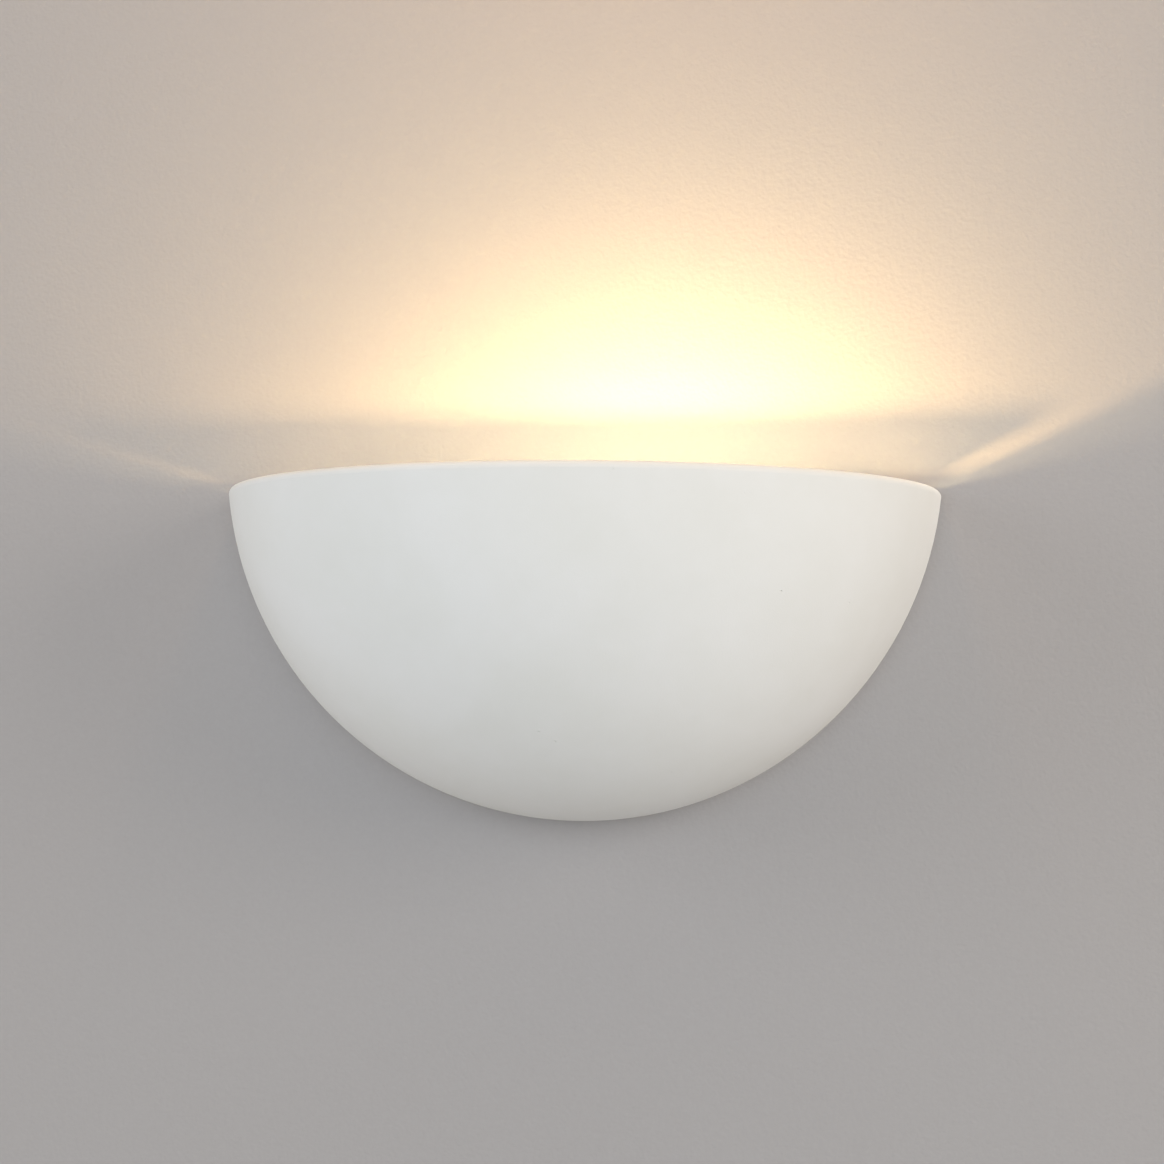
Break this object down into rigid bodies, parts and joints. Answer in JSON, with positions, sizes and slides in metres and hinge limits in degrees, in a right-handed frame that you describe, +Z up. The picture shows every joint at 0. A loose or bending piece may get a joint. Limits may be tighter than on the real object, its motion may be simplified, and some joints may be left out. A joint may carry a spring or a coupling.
{
  "type": "uplighter wall sconce",
  "caption": "Half-bowl plaster uplighter that hangs on a folded steel wall bracket and hides a small screw-cap bulb.",
  "frame": {"origin": "middle of the two wall screw slots, on the wall plane", "axes": "+X to the right as seen from the room, +Y into the wall, +Z up; the shade's front faces -Y"},
  "size_m": [0.3194, 0.1397, 0.1468],
  "materials": {
    "plaster": "matt, unglazed, finely pored cast plaster",
    "white_steel": "satin white powder coat on folded sheet",
    "zinc_steel": "bright zinc plate, slightly dulled",
    "brass": "plain turned brass, satin",
    "black_resin": "black moulded resin, semi-matt",
    "core_ceramic": "unglazed off-white insulating ceramic",
    "bulb_glass": "thin clear blown glass",
    "cap_metal": "rolled bright cap metal",
    "insulator_glass": "black glassy insulator",
    "solder": "dull solder",
    "filament_wire": "glowing warm white wire",
    "rubber": "soft black rubber",
    "fibre": "red-brown vulcanised fibre",
    "white_nylon": "translucent white nylon",
    "brown_insulation": "brown lead insulation",
    "blue_insulation": "blue lead insulation",
    "earth_insulation": "green and yellow lead insulation"
  },
  "bodies": {
    "wall_mount": {"wall_bracket": "white_steel", "cable_entry_bush": "rubber", "lamp_arm": "white_steel", "lamp_arm_screws": "zinc_steel", "threaded_nipple": "zinc_steel", "lock_nut": "zinc_steel", "lampholder_rear_cap": "black_resin", "lampholder_skirt": "black_resin", "lampholder_core": "core_ceramic", "threaded_sleeve": "brass", "centre_contact": "brass", "lead_terminals": "brass", "terminal_block": "white_nylon", "terminal_clamps": "brass", "clamp_screws": "zinc_steel", "terminal_block_screws": "zinc_steel", "earth_stud": "zinc_steel", "earth_tag": "zinc_steel", "earth_washer": "zinc_steel", "earth_nut": "brass", "live_lead": "brown_insulation", "neutral_lead": "blue_insulation", "earth_lead": "earth_insulation", "shade_stud_left": "zinc_steel", "shade_stud_right": "zinc_steel"},
    "shade": {"shade": "plaster", "fibre_washer_left": "fibre", "fibre_washer_right": "fibre"},
    "bulb": {"bulb_glass": "bulb_glass", "bulb_cap": "cap_metal", "bulb_insulator": "insulator_glass", "bulb_tip": "solder", "bulb_stem": "bulb_glass", "filament_supports": "solder", "filament": "filament_wire"},
    "left_washer": {"steel_washer_left": "zinc_steel"},
    "left_thumb_nut": {"thumb_nut_left": "brass"},
    "right_washer": {"steel_washer_right": "zinc_steel"},
    "right_thumb_nut": {"thumb_nut_right": "brass"}
  },
  "joints": [
    {"name": "shade_pull_off", "type": "slide", "parent": "wall_mount", "child": "shade", "axis": [0, -1, 0], "range_m": [0, 0.13]},
    {"name": "bulb_unscrew", "type": "slide", "parent": "wall_mount", "child": "bulb", "axis": [1, 0, 0], "range_m": [0, 0.028]},
    {"name": "left_nut_travel", "type": "slide", "parent": "shade", "child": "left_washer", "axis": [0, -1, 0], "range_m": [0, 0.00408]},
    {"name": "left_nut_turn", "type": "hinge", "parent": "left_washer", "child": "left_thumb_nut", "pos_m": [-0.108, -0.02, 0], "axis": [0, -1, 0], "range_deg": [0, 1800]},
    {"name": "right_nut_travel", "type": "slide", "parent": "shade", "child": "right_washer", "axis": [0, -1, 0], "range_m": [0, 0.00408]},
    {"name": "right_nut_turn", "type": "hinge", "parent": "right_washer", "child": "right_thumb_nut", "pos_m": [0.108, -0.02, 0], "axis": [0, -1, 0], "range_deg": [0, 1800]}
  ],
  "couplings": [
    {"joint": "left_nut_travel", "follows": "left_nut_turn", "m_per_rad": 0.00012732},
    {"joint": "right_nut_travel", "follows": "right_nut_turn", "m_per_rad": 0.00012732}
  ]
}
